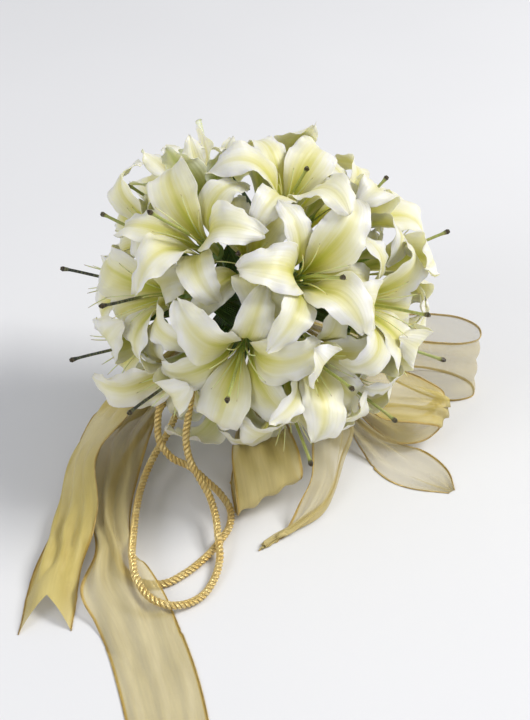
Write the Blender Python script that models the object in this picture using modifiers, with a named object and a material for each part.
"""A hand-tied bridal bouquet of white lilies, laid down on its organza ribbons.

Metres, +Z up. The table is the plane z = 0, the flowers face -Y and up, and the bound
stems run back and down to +Y. X is across the bouquet.
"""

import itertools
import math
import random
from typing import NamedTuple

import bmesh
import bpy
import numpy as np
from mathutils import Matrix, Vector
from mathutils.bvhtree import BVHTree

MM = 0.001

# The middle of the finished bouquet's outline on the table, from under the dome's middle
HOME_X, HOME_Y = 11.7 * MM, -112 * MM

# The dome of flowers
HEAD_HEIGHT = 135 * MM  # the dome's middle above the table
SEAT_RADIUS = 75 * MM  # from the dome's middle to where a flower sits on its stalk
FRONT_RISE = math.radians(35)  # the dome's front, which the flower list is given from
AXIS_RISE = math.radians(43)  # the bound stems' line

# One lily
INNER_LENGTH, INNER_WIDTH = 105 * MM, 41 * MM
OUTER_LENGTH, OUTER_WIDTH = 104 * MM, 31 * MM
PETAL_THICK = 0.9 * MM
INNER_ROWS = (0, 0.21, 0.44, 0.65, 0.83, 1)  # shares of the petal's length
OUTER_ROWS = (0, 0.24, 0.5, 0.78, 1)
PETAL_COLUMNS = 2
BASE_TOP, BASE_BOTTOM = 11.3 * MM, 10.5 * MM  # radii of the disc that the petals grow from
BASE_HIGH, BASE_LOW = 3 * MM, -1 * MM
CLAW_START = 0.5 * MM  # a petal's root above the seat, inside the disc
CLAW_RADIUS = 6.4 * MM  # where a petal's root stands in the base
OUTER_STEP = 2.4 * MM  # an outer petal's root lies this much further out
PISTIL = (  # height above the seat and radius, mm: ovary, style and stigma
    (3.3, 2.7),
    (18, 2.9),
    (28, 1.4),
    (80, 1.3),
    (88, 2.4),
)
STYLE_BEND = 9 * MM  # how far the stigma leans to one side
FILAMENT_ROOT, FILAMENT_RADIUS = 2.2 * MM, 0.65 * MM
FILAMENT_LENGTH = 66 * MM
FILAMENT_STEPS = 1  # straight here

# Stems
STEM_RADIUS, STEM_SPACING = 3.8 * MM, 8.2 * MM
STEMS_AROUND = 4  # and one in the middle
STEM_FORK = 10 * MM  # along the axis, back from the dome's middle
STEM_SPREAD = 30 * MM  # from the axis at the fork
MIDDLE_CONE = math.radians(28)  # the middle stem carries the flowers this near the axis
STALK_RADIUS = 2.2 * MM
BIND_TOP, BIND_END = 80 * MM, 165 * MM  # the wrapped handle
STEM_END = 185 * MM
WRAP_INNER, WRAP_OUTER = 12.3 * MM, 13.8 * MM
KNOT_TOP, KNOT_END = 88 * MM, 112 * MM
KNOT_INNER, KNOT_OUTER = 14.1 * MM, 18.6 * MM
RIBBON_START = 19.4 * MM  # where a ribbon leaves the knot, from the handle's axis

# Leaves
LEAF_LENGTH, LEAF_WIDTH, LEAF_THICK = 84 * MM, 22 * MM, 0.8 * MM
LEAF_COUNT = 16
LEAF_REACH = (70, 108)  # mm from the dome's middle to a leaf's tip
LEAF_APART = 30 * MM  # between two tips
LEAF_DRAWS = 900
LEAF_PLACES = (  # gaps in the front: mm right and up from the dome's middle, seen from there
    (-5, 74),
    (-20, 34),
    (-59, -2),
    (-27, -20),
    (49, -25),
    (72, -30),
    (-65, -43),
    (2, 4),
    (34, 58),
    (-126, -32),
)
LEAF_DEPTH = (-30, 75)  # mm from the dome's middle toward its front

# Ribbons and cords
RIBBON_THICK = 0.8 * MM
RIBBON_STEP = 21 * MM
LIES_BELOW = 1.1 * MM  # ribbon this near the table lies flat on it
CORD_DIAMETER = 6.5 * MM
CORD_POINTS = 30

# Clearances
GAP = 0.3 * MM  # between pieces that touch
PETAL_CLEAR = 0.6 * MM  # that a petal keeps from what is there already
TABLE_CLEAR = 2.2 * MM  # room for ribbon under a petal that lies on the table


class Bloom(NamedTuple):
    """around and lean place it on the dome, in degrees, seen from the dome's front."""

    name: str
    around: float
    lean: float
    turn: float = 0.0  # about its own axis, degrees
    flare: float = 56.0  # how far the petals open, degrees
    curl: float = 62.0  # how far their tips roll back, degrees
    lift: float = 0.0  # mm further out than the others
    style: float = 1.0  # its pistil and stamens, as a share of the full length
    size: float = 1.0  # its petals, as a share of the full size


BLOOMS = [
    Bloom("front", 257, 30, 12, 58, 92, 6),
    Bloom("right_star", -8, 56, 30, 60, 105, 8),
    Bloom("heart", 10, 22, 40, 46, 88, 4),
    Bloom("crown", 70, 50, 0, 50, 85, -2, 0.7),
    Bloom("left_upper", 142, 34, 20, 56, 95, 4),
    Bloom("middle", 112, 13, 55, 46, 95, -9, 0.85),
    Bloom("half_open", 119, 74, 25, 13, 14, -10, 1, 0.84),
    Bloom("left_middle", 184, 50, 50, 52, 100, 0),
    Bloom("low_right", -52, 44, 10, 46, 90, -4),
    Bloom("low_front", 286, 68, 25, 52, 90, 2),
    Bloom("left_shoulder", 154, 68, 15, 56, 110, 4, 0.8),
    Bloom("top_left", 138, 82, 20, 52, 90, 4, 0.7),
    Bloom("right_shoulder", 38, 76, 20, 50, 90, 2, 0.8),
    Bloom("right_edge", 15, 84, 50, 54, 95, 8),
    Bloom("right_low_edge", -21, 86, 15, 52, 95, 8),
    Bloom("low_left", 228, 64, 40, 48, 90, -2),
    Bloom("left_edge", 176, 82, 23, 54, 105, 4),
    Bloom("left_low_edge", 203, 86, 55, 52, 100, 6),
    Bloom("low_right_edge", -46, 80, 39, 50, 90, 0),
    Bloom("bottom", 258, 93, 0, 40, 80, -6, 0.4),
    Bloom("top", 83, 90, 10, 50, 90, -16, 0.7),
    Bloom("top_right", 54, 96, 45, 46, 85, -10, 0.7),
    Bloom("left_bud", 112, 99, 30, 15, 26, -10),
]

OPEN_FLARE = 20.0  # a bud under this many degrees shows no stamens

# What a petal may try, in order of how little it changes: flare and curl in degrees,
# sway as a share of its length
FLARE_TRIES = (0, -7, 7, -14, 12, -21, -28, -36, -44)
CURL_TRIES = (0, -25, 20)
SWAY_TRIES = (0, 0.05, -0.05, 0.11, -0.11)
SHORTER_TRIES = (1.0, 0.85, 0.7, 0.55)


def clear_scene():
    for obj in list(bpy.data.objects):
        bpy.data.objects.remove(obj)


def new_collection(name):
    collection = bpy.data.collections.new(name)
    bpy.context.scene.collection.children.link(collection)
    return collection


def material(name, colour, roughness, metallic=0.0):
    made = bpy.data.materials.new(name)
    made.use_nodes = True
    shader = made.node_tree.nodes["Principled BSDF"]
    shader.inputs["Base Color"].default_value = (*colour, 1.0)
    shader.inputs["Roughness"].default_value = roughness
    shader.inputs["Metallic"].default_value = metallic
    return made


def smooth(x, low, high):
    """0 before low, 1 after high, with a soft start and end."""
    t = np.clip((x - low) / (high - low), 0, 1)
    return t * t * (3 - 2 * t)


def front_direction(around, lean):
    """The unit direction from the dome's middle that is seen there from the dome's front."""
    around, lean = math.radians(around), math.radians(lean)
    toward = Vector((0, -math.cos(FRONT_RISE), math.sin(FRONT_RISE)))
    up = Vector((0, math.sin(FRONT_RISE), math.cos(FRONT_RISE)))
    across = Vector((1, 0, 0)) * math.cos(around) + up * math.sin(around)
    return toward * math.cos(lean) + across * math.sin(lean)


def is_open(bloom):
    return bloom.flare > OPEN_FLARE


def head_middle():
    return Vector((0, 0, HEAD_HEIGHT))


def bloom_frame(bloom):
    """The matrix whose origin is the flower's seat and whose Z runs out along its axis."""
    z = front_direction(bloom.around, bloom.lean)
    x = Vector((0, 0, 1)).cross(z).normalized()
    turned = Matrix.Rotation(math.radians(bloom.turn), 3, z) @ x
    rotation = Matrix((turned, z.cross(turned), z)).transposed()
    seat = head_middle() + z * (SEAT_RADIUS + bloom.lift * MM)
    return Matrix.Translation(seat) @ rotation.to_4x4()


class Petal(NamedTuple):
    """A tepal's form. Angles are radians from the flower's axis."""

    length: float
    width: float
    root: float  # its root's distance from the axis
    flare: float
    curl: float
    sway: float
    twist: float
    ruffle: float
    phase: float


def petal_outline(u):
    """Share of the full width: a narrow claw, widest past the middle, and a pointed tip."""
    claw = 0.165 + 0.835 * smooth(u, 0.08, 0.56)
    past = np.clip((u - 0.5) / 0.5, 0, 1)
    return claw * np.maximum((1 - past**2) ** 0.66, 0.08)


def petal_surface(petal, u, v):
    """Points of the petal's middle surface in the flower's own frame, the petal along +X."""
    steps = np.linspace(0, 1, 81)
    angle = (
        math.radians(9)
        + petal.flare * smooth(steps, 0.1, 0.72)
        + petal.curl * smooth(steps, 0.5, 1.0)
    )
    step = petal.length / (len(steps) - 1)
    out = petal.root + np.concatenate(([0], np.cumsum(np.sin(angle[1:]) * step)))
    up = CLAW_START + np.concatenate(([0], np.cumsum(np.cos(angle[1:]) * step)))
    out, up = np.interp(u, steps, out), np.interp(u, steps, up)
    angle = np.interp(u, steps, angle)
    side = 0.5 * petal.width * petal_outline(u) * v
    hollow = smooth(u, 0.75, 0.3) / (2 * (out + 6 * MM)) - 5 * smooth(u, 0.6, 1.0)
    rise = hollow * side**2 - 1.2 * MM * np.exp(-((v / 0.22) ** 2)) * smooth(u, 0, 0.3)
    wave = np.sin(2 * math.pi * 2.4 * u + petal.phase + 0.8 * v)
    rise = rise + petal.ruffle * np.abs(v) ** 2 * wave * smooth(u, 0.25, 0.6)
    turn = petal.twist * u
    along_side = side * np.cos(turn) - rise * np.sin(turn)
    along_normal = side * np.sin(turn) + rise * np.cos(turn)
    x = out - along_normal * np.cos(angle)
    y = along_side + petal.sway * petal.length * u**2
    z = up + along_normal * np.sin(angle)
    return np.stack([x, y, z], axis=-1)


def petal_grid(petal, spin, frame, rows, columns):
    """World points of a petal at these shares of its length, kept above the table."""
    u, v = np.meshgrid(np.array(rows), np.linspace(-1, 1, columns + 1), indexing="ij")
    points = petal_surface(petal, u, v)
    whole = np.array(frame @ Matrix.Rotation(spin, 4, "Z"))
    points = points @ whole[:3, :3].T + whole[:3, 3]
    lowest = TABLE_CLEAR + PETAL_THICK / 2
    points[..., 2] = np.where(
        points[..., 2] < lowest + 10 * MM,
        lowest + 10 * MM * np.exp((points[..., 2] - lowest) / (10 * MM) - 1),
        points[..., 2],
    )
    return points


def grid_normals(points):
    along = np.gradient(points, axis=0)
    across = np.gradient(points, axis=1)
    normals = np.cross(along, across)
    return normals / np.maximum(np.linalg.norm(normals, axis=-1, keepdims=True), 1e-12)


def grid_triangles(rows, columns):
    """The two triangles of each cell of a grid of points, split alike everywhere."""
    faces = []
    for i, j in itertools.product(range(rows), range(columns)):
        a = i * (columns + 1) + j
        b, c, d = a + 1, a + columns + 1, a + columns + 2
        faces += [(a, c, d), (a, d, b)]
    return faces


def shell_tree(points, thickness):
    """A BVH of both sides of a grid of points, that far apart."""
    rows, columns = points.shape[0] - 1, points.shape[1] - 1
    normals = grid_normals(points) * thickness / 2
    both = np.concatenate([(points + normals).reshape(-1, 3), (points - normals).reshape(-1, 3)])
    faces = grid_triangles(rows, columns)
    count = (rows + 1) * (columns + 1)
    rim = [i * (columns + 1) for i in range(rows + 1)]
    rim += [rows * (columns + 1) + j for j in range(1, columns + 1)]
    rim += [i * (columns + 1) + columns for i in range(rows - 1, -1, -1)]
    faces = faces + [tuple(n + count for n in face) for face in faces]
    for a, b in itertools.pairwise(rim):
        faces += [(a, b, b + count), (a, b + count, a + count)]
    return BVHTree.FromPolygons(both.tolist(), faces)


class Taken:
    """What is placed already, for new shapes to keep clear of."""

    def __init__(self):
        self.items = []

    def add(self, owner, tree, points):
        points = np.asarray(points).reshape(-1, 3)
        self.items.append((owner, tree, points.min(0), points.max(0)))

    def touches(self, tree, points, owner=None):
        points = np.asarray(points).reshape(-1, 3)
        low, high = points.min(0) - 3 * MM, points.max(0) + 3 * MM
        for other, other_tree, other_low, other_high in self.items:
            if other == owner or (other_low > high).any() or (other_high < low).any():
                continue
            if tree.overlap(other_tree):
                return True
        return False


def petal_tries(petal):
    """The petal's own form first, then the others by how much they change it."""
    tries = []
    for flare, curl, sway, share in itertools.product(
        FLARE_TRIES, CURL_TRIES, SWAY_TRIES, SHORTER_TRIES
    ):
        cost = abs(flare) / 7 + abs(curl) / 30 + abs(sway) / 0.08 + (1 - share) * 30
        tries.append((cost, flare, curl, sway, share))
    for _, flare, curl, sway, share in sorted(tries):
        yield petal._replace(
            flare=max(petal.flare + math.radians(flare), 0.02),
            curl=max(petal.curl + math.radians(curl), 0.0),
            sway=petal.sway + sway,
            length=petal.length * share,
            width=petal.width * (0.5 + 0.5 * share),
        )


def rows_of(bloom, number):
    """Where a petal's cross lines are: more of them on the broad petals that face out."""
    return INNER_ROWS if number % 2 == 0 and bloom.lean < 60 else OUTER_ROWS


def grow_petals(bloom, taken):
    """The six petals of a flower as (petal, spin, rows), each bent clear of the rest."""
    draw = random.Random(bloom.name)
    frame = bloom_frame(bloom)
    sisters = Taken()
    grown = []
    for number in range(6):
        inner = number % 2 == 0
        wished = Petal(
            length=(INNER_LENGTH if inner else OUTER_LENGTH) * bloom.size * draw.uniform(0.96, 1.04),
            width=(INNER_WIDTH if inner else OUTER_WIDTH) * bloom.size,
            root=CLAW_RADIUS + (0 if inner else OUTER_STEP),
            flare=math.radians(bloom.flare + (0 if inner else 8) + draw.uniform(-8, 8)),
            curl=math.radians(bloom.curl + draw.uniform(-24, 24)),
            sway=draw.uniform(-0.04, 0.04),
            twist=math.radians(draw.uniform(-26, 26)),
            ruffle=(4.0 if inner else 2.0) * MM,
            phase=draw.uniform(0, 2 * math.pi),
        )
        spin = math.radians(60 * number)
        for petal in petal_tries(wished):
            points = petal_grid(petal, spin, frame, rows_of(bloom, number), PETAL_COLUMNS)
            blade = points[1:]  # past the root, which stands in the flower's base
            if sisters.touches(shell_tree(blade, PETAL_THICK + GAP), blade):
                continue
            tree = shell_tree(points, PETAL_THICK + 2 * PETAL_CLEAR)
            if not taken.touches(tree, points, bloom.name):
                break
        else:
            continue
        grown.append((petal, spin, rows_of(bloom, number)))
        sisters.add(bloom.name, shell_tree(blade, PETAL_THICK), blade)
        taken.add(bloom.name, shell_tree(points, PETAL_THICK), points)
    return grown


def blade_object(name, points, thickness, collection):
    """A grid moved onto the points, split into triangles and given its thickness."""
    rows, columns = points.shape[0] - 1, points.shape[1] - 1
    mesh = bmesh.new()
    bmesh.ops.create_grid(mesh, x_segments=rows, y_segments=columns, size=1)
    mesh.verts.ensure_lookup_table()
    for vertex in mesh.verts:
        i = round((vertex.co.x + 1) / 2 * rows)
        j = round((vertex.co.y + 1) / 2 * columns)
        vertex.co = points[i, j]
    bmesh.ops.triangulate(mesh, faces=mesh.faces, quad_method="FIXED")
    data = bpy.data.meshes.new(name)
    mesh.to_mesh(data)
    mesh.free()
    obj = bpy.data.objects.new(name, data)
    collection.objects.link(obj)
    solid = obj.modifiers.new("thickness", "SOLIDIFY")
    solid.thickness = thickness
    solid.offset = 0
    return obj


def tube_object(name, points, radii, sides, collection):
    """A round bar along the points, with capped ends, as a closed mesh."""
    curve = bpy.data.curves.new(name, "CURVE")
    curve.dimensions = "3D"
    curve.bevel_depth = 1.0
    curve.bevel_resolution = (sides - 4) // 2
    curve.use_fill_caps = True
    spline = curve.splines.new("POLY")
    spline.points.add(len(points) - 1)
    for knot, point, radius in zip(spline.points, points, radii, strict=True):
        knot.co = (*point, 1.0)
        knot.radius = radius
    line = bpy.data.objects.new(name, curve)
    collection.objects.link(line)
    return solid_mesh(line, split=False)


def solid_mesh(obj, weld=MM / 1000, split=True):
    """The object as a plain mesh with its modifiers or bevel applied and its caps welded."""
    bpy.context.view_layer.update()
    depsgraph = bpy.context.evaluated_depsgraph_get()
    data = bpy.data.meshes.new_from_object(obj.evaluated_get(depsgraph), depsgraph=depsgraph)
    mesh = bmesh.new()
    mesh.from_mesh(data)
    bmesh.ops.remove_doubles(mesh, verts=mesh.verts, dist=weld)
    if split:
        bmesh.ops.triangulate(mesh, faces=mesh.faces, ngon_method="EAR_CLIP")
    bmesh.ops.recalc_face_normals(mesh, faces=mesh.faces)
    mesh.to_mesh(data)
    mesh.free()
    name, place, home = obj.name, obj.matrix_world.copy(), obj.users_collection[0]
    bpy.data.objects.remove(obj)
    made = bpy.data.objects.new(name, data)
    data.name = name
    made.matrix_world = place
    home.objects.link(made)
    return made


def joined(name, pieces, collection, colour, frame=None, split=True):
    """One solid of all the pieces, which are then removed, placed by its frame."""
    first, *others = [solid_mesh(piece, split=split) for piece in pieces]
    group = new_collection(name + "_pieces")
    for piece in others:
        piece.users_collection[0].objects.unlink(piece)
        group.objects.link(piece)
    if others:
        union = first.modifiers.new("union", "BOOLEAN")
        union.operation = "UNION"
        union.solver = "MANIFOLD"
        union.operand_type = "COLLECTION"
        union.collection = group
    whole = solid_mesh(first, weld=MM / 20000, split=True)
    for piece in others:
        bpy.data.objects.remove(piece)
    bpy.data.collections.remove(group)
    for home in list(whole.users_collection):
        home.objects.unlink(whole)
    collection.objects.link(whole)
    whole.name = name
    whole.data.name = name
    if frame is not None:
        whole.data.transform(frame.inverted() @ whole.matrix_world)
        whole.matrix_world = frame
    whole.data.materials.clear()
    whole.data.materials.append(colour)
    return whole


def tube_tree(points, radius, sides=6):
    """A BVH of a round bar along the points, and its corners."""
    points = np.asarray(points, float)
    along = np.gradient(points, axis=0)
    along /= np.linalg.norm(along, axis=1, keepdims=True)
    side = np.cross(along, (0.31, 0.52, 0.79))
    side /= np.linalg.norm(side, axis=1, keepdims=True)
    up = np.cross(along, side)
    turns = np.arange(sides) * 2 * math.pi / sides
    ring = side[:, None] * np.cos(turns)[None, :, None] + up[:, None] * np.sin(turns)[None, :, None]
    corners = (points[:, None] + ring * np.reshape(radius, (-1, 1, 1))).reshape(-1, 3)
    faces = []
    for i, k in itertools.product(range(len(points) - 1), range(sides)):
        a, b = i * sides + k, i * sides + (k + 1) % sides
        faces += [(a, b, b + sides), (a, b + sides, a + sides)]
    last = (len(points) - 1) * sides
    faces += [tuple(range(sides)), tuple(range(last, last + sides))]
    return BVHTree.FromPolygons(corners.tolist(), faces), corners


def smooth_line(knots, count):
    """count points along a smooth curve through the knots, evenly spaced."""
    knots = np.asarray(knots, float)
    places = np.concatenate(([0], np.cumsum(np.linalg.norm(np.diff(knots, axis=0), axis=1))))
    dense = hermite(knots, places, np.linspace(0, places[-1], 40 * len(knots)))
    travelled = np.concatenate(([0], np.cumsum(np.linalg.norm(np.diff(dense, axis=0), axis=1))))
    wanted = np.linspace(0, travelled[-1], count)
    return np.stack([np.interp(wanted, travelled, dense[:, k]) for k in range(3)], axis=1)


def hermite(knots, places, wanted):
    """Points of the cubic through the knots, whose slopes come from their neighbours."""
    slopes = np.gradient(knots, places, axis=0)
    index = np.clip(np.searchsorted(places, wanted, side="right") - 1, 0, len(places) - 2)
    width = (places[index + 1] - places[index])[:, None]
    t = ((wanted - places[index])[:, None]) / width
    h00, h10 = 2 * t**3 - 3 * t**2 + 1, t**3 - 2 * t**2 + t
    h01, h11 = -2 * t**3 + 3 * t**2, t**3 - t**2
    return (
        h00 * knots[index]
        + h10 * width * slopes[index]
        + h01 * knots[index + 1]
        + h11 * width * slopes[index + 1]
    )


def handle_axis():
    """The direction in which the bound stems point, out through the flowers."""
    return Vector((0, -math.cos(AXIS_RISE), math.sin(AXIS_RISE)))


def handle_up():
    """The direction across the handle that points most upward."""
    return Vector((0, math.sin(AXIS_RISE), math.cos(AXIS_RISE)))


def on_handle(back, turn=0.0, radius=0.0):
    """A point that far back from the dome's middle and out from the handle's axis."""
    across = Vector((1, 0, 0)) * math.cos(turn) + handle_up() * math.sin(turn)
    return head_middle() - handle_axis() * back + across * radius


def stem_of(bloom):
    """The number of the stem that carries a flower: 0 is the middle one."""
    direction = front_direction(bloom.around, bloom.lean)
    if direction.angle(handle_axis()) < MIDDLE_CONE:
        return 0
    turn = math.atan2(direction.dot(handle_up()), direction.x)
    return 1 + round((turn + math.pi / 2) / (2 * math.pi / STEMS_AROUND)) % STEMS_AROUND


def stem_turn(number):
    return -math.pi / 2 + (number - 1) * 2 * math.pi / STEMS_AROUND


def stem_line(number):
    """The stem's line, from the cut end to where its stalks part."""
    if number == 0:
        return [on_handle(back) for back in (STEM_END, BIND_TOP, 45 * MM, STEM_FORK)]
    turn = stem_turn(number)
    line = [on_handle(STEM_END, turn, STEM_SPACING), on_handle(BIND_TOP, turn, STEM_SPACING)]
    for share in (0.3, 0.65, 1.0):
        radius = STEM_SPACING + (STEM_SPREAD - STEM_SPACING) * share**1.3
        line.append(on_handle(BIND_TOP + (STEM_FORK - BIND_TOP) * share, turn, radius))
    return line


def stalk_line(bloom):
    """The stalk's line, from inside its stem to just under the flower."""
    line = stem_line(stem_of(bloom))
    start, before = line[-1], line[-2]
    out = front_direction(bloom.around, bloom.lean)
    top = head_middle() + out * (SEAT_RADIUS + bloom.lift * MM) + out * (BASE_LOW - GAP)
    end = top - out * 5 * MM
    reach = (end - start).length
    first = start + (start - before).normalized() * 0.25 * reach
    second = end - out * 0.35 * reach
    points = []
    for t in np.linspace(0, 1, 4):
        a, b = start.lerp(first, t), first.lerp(second, t)
        c = second.lerp(end, t)
        points.append(a.lerp(b, t).lerp(b.lerp(c, t), t))
    return [start - (start - before).normalized() * 3 * MM, *points, top]


def pistil_line(bloom):
    """Points of the pistil's middle in the flower's frame, and their radii."""
    draw = random.Random(bloom.name + "_pistil")
    turn = draw.uniform(0, 2 * math.pi)
    top = PISTIL[-1][0]
    points = []
    for height, _ in PISTIL:
        share = height / top
        bend = STYLE_BEND * smooth(share, 0.25, 1.0) * share * bloom.style
        rise = (PISTIL[0][0] + (height - PISTIL[0][0]) * bloom.style) * MM
        points.append(Vector((bend * math.cos(turn), bend * math.sin(turn), rise)))
    return points, [radius * MM for _, radius in PISTIL]


def filament_line(turn, spread, share, sway, steps=FILAMENT_STEPS):
    """A stamen's stalk in the flower's frame: it leaves beside the ovary and arches out."""
    length = FILAMENT_LENGTH * share
    points = []
    for t in np.linspace(0, 1, steps + 1):
        radius = FILAMENT_ROOT + length * (0.08 * t + spread * t**2)
        angle = turn + sway * t
        height = 5 * MM + length * (t - 0.12 * spread * 4 * t**2)
        points.append(Vector((radius * math.cos(angle), radius * math.sin(angle), height)))
    return points


def grow_filaments(bloom, taken):
    """The six stamen stalks of a flower, each as open as it has room for."""
    draw = random.Random(bloom.name + "_filaments")
    frame = bloom_frame(bloom)
    owner = bloom.name + "_heart"
    grown = []
    for number in range(6):
        turn = math.radians(60 * number + 30 + draw.uniform(-8, 8))
        spread, sway = draw.uniform(0.2, 0.34), draw.uniform(-0.2, 0.2)
        for ease, share in itertools.product((1, 0.75, 0.5, 0.25, 0.0, 1.3), (1, 0.8, 0.6)):
            line = filament_line(turn, spread * ease, share * bloom.style, sway)
            placed = [frame @ point for point in line]
            tree, corners = tube_tree(placed, FILAMENT_RADIUS + GAP, 4)
            if corners[:, 2].min() > TABLE_CLEAR and not taken.touches(tree, corners, owner):
                grown.append(line)
                taken.add(owner, tube_tree(placed, FILAMENT_RADIUS, 4)[0], corners)
                break
    return grown


def leaf_points(start, along, tip, roll, rows, columns, width=LEAF_WIDTH):
    """A lance-shaped leaf: it leaves the stalk along it and arches out to its tip."""
    start, tip = Vector(start), Vector(tip)
    bend = start + along * (tip - start).length * 0.45
    u, v = np.meshgrid(np.linspace(0, 1, rows + 1), np.linspace(-1, 1, columns + 1), indexing="ij")
    t = u[..., None]
    a, b, c = np.array(start), np.array(bend), np.array(tip)
    middle = a * (1 - t) ** 2 + b * 2 * t * (1 - t) + c * t**2
    ahead = (b - a) * 2 * (1 - t) + (c - b) * 2 * t
    ahead /= np.linalg.norm(ahead, axis=-1, keepdims=True)
    side = np.cross(ahead, np.array(roll))
    side /= np.linalg.norm(side, axis=-1, keepdims=True)
    face = np.cross(side, ahead)
    shape = np.maximum(np.sin(math.pi * np.clip(u, 0, 1) ** 0.8) ** 0.75, 0.12)
    half = (width / 2 * shape * v)[..., None]
    fold = (0.18 * width * shape * np.abs(v))[..., None]
    return middle + side * half + face * fold


def leaf_tip(number, away, draw):
    """The first leaves end in the front's gaps, facing the front; the rest end anywhere."""
    if number >= len(LEAF_PLACES):
        tip = head_middle() + away * draw.uniform(*LEAF_REACH) * MM
        return tip, away.orthogonal()
    x, y = LEAF_PLACES[number]
    toward = front_direction(0, 0)
    aside = Vector((draw.uniform(-6, 6), draw.uniform(-6, 6)))
    across = front_direction(0, 90) * (x + aside.x) + front_direction(90, 90) * (y + aside.y)
    tip = head_middle() + (across + toward * draw.uniform(*LEAF_DEPTH)) * MM
    return tip, toward


def grow_leaves(taken):
    """Leaves on the stalks, each in a gap between the flowers: (stem number, points)."""
    draw = random.Random("foliage 433")
    grown, tips, others = [], [], Taken()
    for number in range(LEAF_COUNT):
        for _ in range(LEAF_DRAWS):
            bloom = draw.choice(BLOOMS)
            stem = stem_of(bloom)
            owner = f"stem_{stem + 1}"
            line = stalk_line(bloom)
            k = draw.choice((1, 2, 3))
            along = (line[k + 1] - line[k - 1]).normalized()
            away = front_direction(draw.uniform(0, 360), draw.uniform(20, 100))
            tip, face = leaf_tip(number, away, draw)
            ahead = tip - line[k]
            if not LEAF_LENGTH * 0.65 < ahead.length < LEAF_LENGTH * 1.15:
                continue
            if tip.z < 12 * MM or any((tip - other).length < LEAF_APART for other in tips):
                continue
            roll = Matrix.Rotation(draw.uniform(-0.8, 0.8), 3, ahead.normalized()) @ face
            points = leaf_points(line[k], along, tip, roll, 4, 2)
            blade = points[1:]  # past the root, which stands in the stalk
            if others.touches(shell_tree(blade, LEAF_THICK + GAP), blade):
                continue
            if taken.touches(shell_tree(points, LEAF_THICK + 1.2 * MM), points, owner):
                continue
            grown.append((stem, points))
            tips.append(tip)
            others.add(owner, shell_tree(blade, LEAF_THICK), blade)
            taken.add(owner, shell_tree(points, LEAF_THICK), points)
            break
    return grown


class Ribbon(NamedTuple):
    """A length of ribbon through cross lines (left end, right end, arch), all in mm."""

    name: str
    turns: tuple  # degrees round the knot where each tied end leaves it
    lines: tuple
    notch: float = 0.0  # mm that the middle of the cut end is set back


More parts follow.
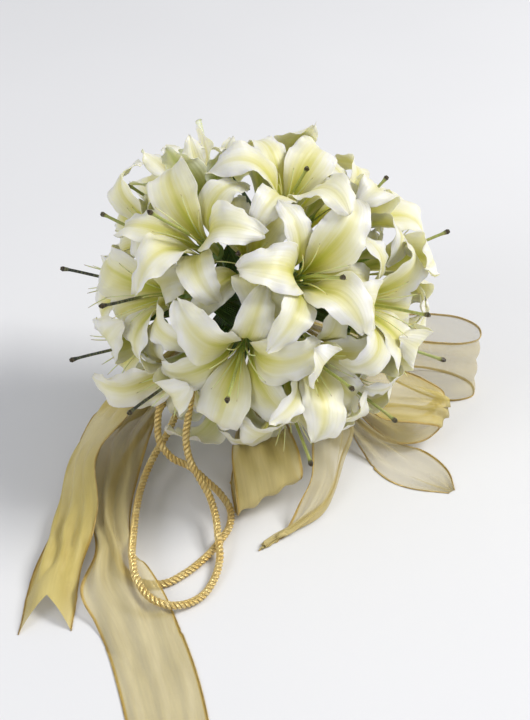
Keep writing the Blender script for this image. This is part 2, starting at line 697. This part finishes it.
RIBBONS = [
    Ribbon(
        "ribbon_left",
        (172,),
        (
            ((-67, 26, 56), (-57, 30, 70), 3),
            ((-108, -22, 52), (-95, -24, 60), 4),
            ((-140, -31, 30), (-114, -80, 56), 3),
            ((-159, -65, 14), (-133, -112, 44), 3),
            ((-165, -124, 7), (-128, -160, 27), 4),
            ((-171, -175, 4), (-135, -193, 10), 9),
            ((-178, -230, 0.4), (-139, -229, 2), 14),
            ((-178, -268, 0.4), (-138, -264, 0.4), 12),
        ),
        26,
    ),
    Ribbon(
        "ribbon_fold",
        (204,),
        (
            ((-62, 12, 42), (-50, 16, 52), 3),
            ((-97, -22, 30), (-80, -20, 38), 4),
            ((-134, -52, 14), (-93, -58, 24), 8),
            ((-144, -98, 8), (-100, -106, 16), 8),
            ((-138, -148, 8), (-102, -158, 13), 10),
            ((-129, -192, 9), (-96, -190, 11), 10),
            ((-134, -234, 12), (-86, -206, 13), 5),
            ((-121, -260, 5), (-68, -234, 5), 4),
            ((-110, -284, 0.5), (-54, -270, 0.5), 3),
            ((-98, -322, 0.4), (-41, -312, 0.4), 0),
            ((-86, -366, 0.4), (-30, -362, 0.4), 0),
        ),
    ),
    Ribbon(
        "ribbon_loop_front",
        (262, 283),
        (
            ((-6, 24, 30), (10, 26, 32), 2),
            ((-14, -30, 20), (22, -24, 24), 4),
            ((-22, -95, 33), (28, -76, 45), 4),
            ((-17, -132, 22), (36, -110, 43), 2),
            ((-15, -144, 12), (38, -122, 33), 0),
            ((-17, -134, 3), (36, -114, 22), 0),
            ((-22, -92, 0.4), (28, -74, 14), 3),
            ((-12, -30, 0.4), (20, -24, 8), 4),
            ((-2, 20, 14), (14, 22, 16), 2),
        ),
    ),
    Ribbon(
        "ribbon_centre",
        (304,),
        (
            ((36, 22, 40), (44, 12, 46), 3),
            ((50, -32, 44), (74, -16, 38), 8),
            ((47, -80, 42), (83, -48, 26), 8),
            ((47, -112, 27), (76, -66, 9), 5),
            ((37, -132, 16), (67, -98, 2), 8),
            ((27, -149, 6), (56, -122, 0.5), 9),
            ((17, -161, 1.5), (45, -139, 0.5), 6),
            ((2, -177, 0.5), (6, -174, 0.5), 0),
        ),
    ),
    Ribbon(
        "ribbon_loop_low",
        (328, 342),
        (
            ((56, 32, 50), (60, 22, 58), 2),
            ((84, 8, 44), (92, -14, 38), 5),
            ((104, 12, 42), (104, -38, 32), 5),
            ((128, 12, 42), (120, -46, 30), 3),
            ((150, 4, 38), (140, -46, 28), 5),
            ((166, -6, 29), (160, -40, 19), 8),
            ((158, -2, 16), (150, -46, 12), 6),
            ((134, 6, 12), (126, -48, 9), 3),
            ((104, 0, 16), (102, -30, 13), 5),
            ((78, 6, 28), (82, -6, 24), 3),
            ((52, 28, 42), (56, 18, 44), 2),
        ),
    ),
    Ribbon(
        "ribbon_loop_right",
        (12, 28),
        (
            ((58, 58, 76), (60, 52, 60), 2),
            ((104, 66, 70), (102, 64, 36), 4),
            ((138, 72, 66), (136, 70, 10), 2),
            ((166, 78, 63), (164, 74, 2), 0),
            ((188, 72, 62.5), (186, 68, 0.6), 0),
            ((203, 54, 62), (202, 50, 0.5), 0),
            ((201, 36, 62), (200, 33, 0.5), 0),
            ((186, 28, 62), (184, 25, 0.6), 0),
            ((165, 28, 62.5), (163, 26, 2), 0),
            ((138, 32, 64), (137, 30, 12), 2),
            ((100, 36, 68), (100, 34, 38), 4),
            ((58, 48, 70), (59, 44, 54), 2),
        ),
    ),
    Ribbon(
        "ribbon_right",
        (318,),
        (
            ((48, 22, 32), (54, 12, 38), 2),
            ((78, -28, 16), (88, -22, 20), 3),
            ((92, -56, 5), (116, -38, 4), 8),
            ((102, -75, 0.6), (142, -46, 0.6), 3),
            ((116, -92, 0.4), (158, -62, 0.4), 0),
            ((134, -101, 0.4), (166, -79, 0.4), 0),
            ((163, -106, 0.4), (168, -102, 0.4), 0),
        ),
    ),
]

# The twisted cord: points that it runs through, in mm, from the flowers and back to them
CORDS = {
    "cord_outer": (
        (-76, -61, 88),
        (-80, -70, 74),
        (-83, -81, 59),
        (-81, -93, 45),
        (-71, -100, 34),
        (-56, -102, 26),
        (-42, -112, 19),
        (-30, -121, 12),
        (-22, -133, 6),
        (-22, -150, 3.6),
        (-29, -168, 3.6),
        (-42, -190, 3.6),
        (-57, -207, 3.6),
        (-71, -217, 3.6),
        (-86, -217, 3.6),
        (-101, -206, 3.6),
        (-114, -180, 3.6),
        (-122, -143, 3.6),
        (-122, -99, 3.6),
        (-112, -58, 6),
        (-96, -26, 14),
        (-78, 0, 26),
    ),
    "cord_inner": (
        (-53, -84, 92),
        (-56, -96, 76),
        (-58, -109, 60),
        (-55, -117, 46),
        (-47, -125, 33),
        (-39, -132, 20),
        (-34, -147, 14),
        (-31, -170, 11.5),
        (-29, -193, 6),
        (-34, -216, 3.6),
        (-41, -230, 3.6),
        (-52, -240, 5),
        (-65, -246, 9),
        (-78, -244, 13),
        (-90, -231, 18),
        (-96, -209, 21),
        (-98, -177, 18),
        (-98, -146, 18),
        (-96, -121, 19),
        (-92, -101, 22),
        (-86, -85, 27),
        (-78, -68, 32),
        (-70, -48, 40),
    ),
}


def ribbon_ends(turn):
    """The tied end of a ribbon: a short line along the handle, beside the knot."""
    middle = (KNOT_TOP + KNOT_END) / 2
    turn = math.radians(turn)
    high = on_handle(middle - 7 * MM, turn, RIBBON_START)
    low = on_handle(middle + 7 * MM, turn, RIBBON_START)
    return (tuple(high / MM), tuple(low / MM), 0.0)


def ribbon_points(ribbon, rows, columns):
    """Grid of the ribbon's middle surface, from its tied end to its cut or tied end."""
    lines = [ribbon_ends(ribbon.turns[0]), *ribbon.lines]
    lines += [ribbon_ends(turn) for turn in ribbon.turns[1:]]
    left = np.array([line[0] for line in lines]) * MM
    right = np.array([line[1] for line in lines]) * MM
    arch = np.array([[line[2]] for line in lines]) * MM
    middle = (left + right) / 2
    places = np.concatenate(([0], np.cumsum(np.linalg.norm(np.diff(middle, axis=0), axis=1))))
    along = np.linspace(0, 1, rows + 1)
    points = np.zeros((rows + 1, columns + 1, 3))
    for j, v in enumerate(np.linspace(-1, 1, columns + 1)):
        set_back = ribbon.notch * MM * (1 - abs(v)) * smooth(along, 0.7, 1.0)
        wanted = along * places[-1] - set_back
        a, b = hermite(left, places, wanted), hermite(right, places, wanted)
        rise = hermite(arch, places, wanted) * (1 - v**2)
        ahead = hermite(middle, places, wanted + MM) - hermite(middle, places, wanted - MM)
        normal = np.cross(b - a, ahead)
        normal /= np.maximum(np.linalg.norm(normal, axis=1, keepdims=True), 1e-9)
        upward = np.where(normal[:, 2:] < 0, -1.0, 1.0)
        points[:, j] = a + (b - a) * (1 + v) / 2 + normal * upward * rise
    lies = points[..., 2] < LIES_BELOW
    points[..., 2] = np.where(lies, RIBBON_THICK / 2, points[..., 2])
    return points


def ribbon_rows(ribbon):
    lines = [ribbon_ends(ribbon.turns[0]), *ribbon.lines]
    middles = np.array([np.add(line[0], line[1]) / 2 for line in lines]) * MM
    return int(np.linalg.norm(np.diff(middles, axis=0), axis=1).sum() / RIBBON_STEP)


def ring_object(name, inner, outer, top, end, sides, collection):
    """A turned ring round the handle."""
    curve = bmesh.new()
    corners = [(inner, top), (inner, end), (outer, end), (outer, top)]
    corners = [curve.verts.new((radius, 0, -back)) for radius, back in corners]
    for a, b in zip(corners, corners[1:] + corners[:1]):
        curve.edges.new((a, b))
    data = bpy.data.meshes.new(name)
    curve.to_mesh(data)
    curve.free()
    obj = bpy.data.objects.new(name, data)
    collection.objects.link(obj)
    screw = obj.modifiers.new("turn", "SCREW")
    screw.steps = screw.render_steps = sides
    screw.use_merge_vertices = True
    screw.merge_threshold = 0.00001
    screw.use_normal_calculate = True
    axis = handle_axis()
    rotation = Matrix((Vector((1, 0, 0)), axis.cross(Vector((1, 0, 0))), axis)).transposed()
    obj.matrix_world = Matrix.Translation(head_middle()) @ rotation.to_4x4()
    return solid_mesh(obj)


def main():
    clear_scene()
    bouquet = new_collection("bouquet")
    white = material("petal_white", (0.88, 0.87, 0.78), 0.45)
    heart_green = material("heart_green", (0.42, 0.50, 0.14), 0.5)
    stem_green = material("stem_green", (0.12, 0.22, 0.06), 0.55)
    gold_organza = material("gold_organza", (0.72, 0.62, 0.30), 0.4)
    gold_wrap = material("gold_wrap", (0.70, 0.60, 0.30), 0.45)
    gold_cord = material("gold_cord", (0.70, 0.52, 0.20), 0.45)
    taken = Taken()

    for ribbon in RIBBONS:
        points = ribbon_points(ribbon, ribbon_rows(ribbon), 2)
        taken.add(ribbon.name, shell_tree(points, RIBBON_THICK), points)
        strip = blade_object(ribbon.name, points, RIBBON_THICK, bouquet)
        joined(ribbon.name, [strip], bouquet, gold_organza)

    for name, route in CORDS.items():
        line = smooth_line(np.array(route) * MM, CORD_POINTS)
        taken.add(name, *tube_tree(line, CORD_DIAMETER / 2, 8))
        cord = tube_object(name, line, [CORD_DIAMETER / 2] * len(line), 8, bouquet)
        cord.data.materials.append(gold_cord)

    for number in range(STEMS_AROUND + 1):
        line = stem_line(number)
        taken.add(f"stem_{number + 1}", *tube_tree(line, STEM_RADIUS, 8))
    for bloom in BLOOMS:
        line = stalk_line(bloom)
        taken.add(f"stem_{stem_of(bloom) + 1}", *tube_tree(line, STALK_RADIUS, 6))
        frame = bloom_frame(bloom)
        disc = [frame @ Vector((0, 0, BASE_LOW)), frame @ Vector((0, 0, BASE_HIGH))]
        taken.add(bloom.name, *tube_tree(disc, BASE_TOP + GAP, 8))
        points, radii = pistil_line(bloom)
        placed = [frame @ point for point in points]
        if is_open(bloom):
            taken.add(bloom.name + "_heart", *tube_tree(placed, radii, 6))

    petals = {bloom.name: grow_petals(bloom, taken) for bloom in BLOOMS}
    filaments = {bloom.name: grow_filaments(bloom, taken) for bloom in BLOOMS if is_open(bloom)}
    leaves = grow_leaves(taken)

    for bloom in BLOOMS:
        frame = bloom_frame(bloom)
        mesh = bmesh.new()
        bmesh.ops.create_cone(
            mesh,
            cap_ends=True,
            segments=6,
            radius1=BASE_BOTTOM,
            radius2=BASE_TOP,
            depth=BASE_HIGH - BASE_LOW,
        )
        bmesh.ops.poke(mesh, faces=[face for face in mesh.faces if len(face.verts) > 4])
        bmesh.ops.triangulate(mesh, faces=mesh.faces)
        data = bpy.data.meshes.new("base")
        mesh.to_mesh(data)
        mesh.free()
        base = bpy.data.objects.new("base", data)
        middle = Matrix.Translation((0, 0, (BASE_HIGH + BASE_LOW) / 2))
        base.matrix_world = frame @ middle @ Matrix.Rotation(math.radians(30), 4, "Z")
        bouquet.objects.link(base)
        pieces = [base]
        for petal, spin, rows in petals[bloom.name]:
            points = petal_grid(petal, spin, frame, rows, PETAL_COLUMNS)
            pieces.append(blade_object("petal", points, PETAL_THICK, bouquet))
        joined("bloom_" + bloom.name, pieces, bouquet, white, frame)

        if bloom.name not in filaments:
            continue
        points, radii = pistil_line(bloom)
        pieces = [tube_object("pistil", points, radii, 6, bouquet)]
        for line in filaments[bloom.name]:
            radii = [FILAMENT_RADIUS] * len(line)
            pieces.append(tube_object("filament", line, radii, 4, bouquet))
        name = "heart_" + bloom.name
        heart = joined(name, pieces, bouquet, heart_green, split=False)
        heart.matrix_world = frame

    for number in range(STEMS_AROUND + 1):
        line = stem_line(number)
        pieces = [tube_object("stem", line, [STEM_RADIUS] * len(line), 6, bouquet)]
        for bloom in BLOOMS:
            if stem_of(bloom) == number:
                line = stalk_line(bloom)
                radii = [STALK_RADIUS] * len(line)
                pieces.append(tube_object("stalk", line, radii, 4, bouquet))
        for stem, points in leaves:
            if stem == number:
                pieces.append(blade_object("leaf", points, LEAF_THICK, bouquet))
        joined(f"stem_{number + 1}", pieces, bouquet, stem_green)

    wrap = ring_object("handle_wrap", WRAP_INNER, WRAP_OUTER, BIND_TOP, BIND_END, 16, bouquet)
    wrap.data.materials.append(gold_wrap)
    knot = ring_object("ribbon_knot", KNOT_INNER, KNOT_OUTER, KNOT_TOP, KNOT_END, 16, bouquet)
    knot.data.materials.append(gold_organza)

    for obj in bouquet.objects:
        obj.matrix_world = Matrix.Translation((-HOME_X, -HOME_Y, 0)) @ obj.matrix_world


main()
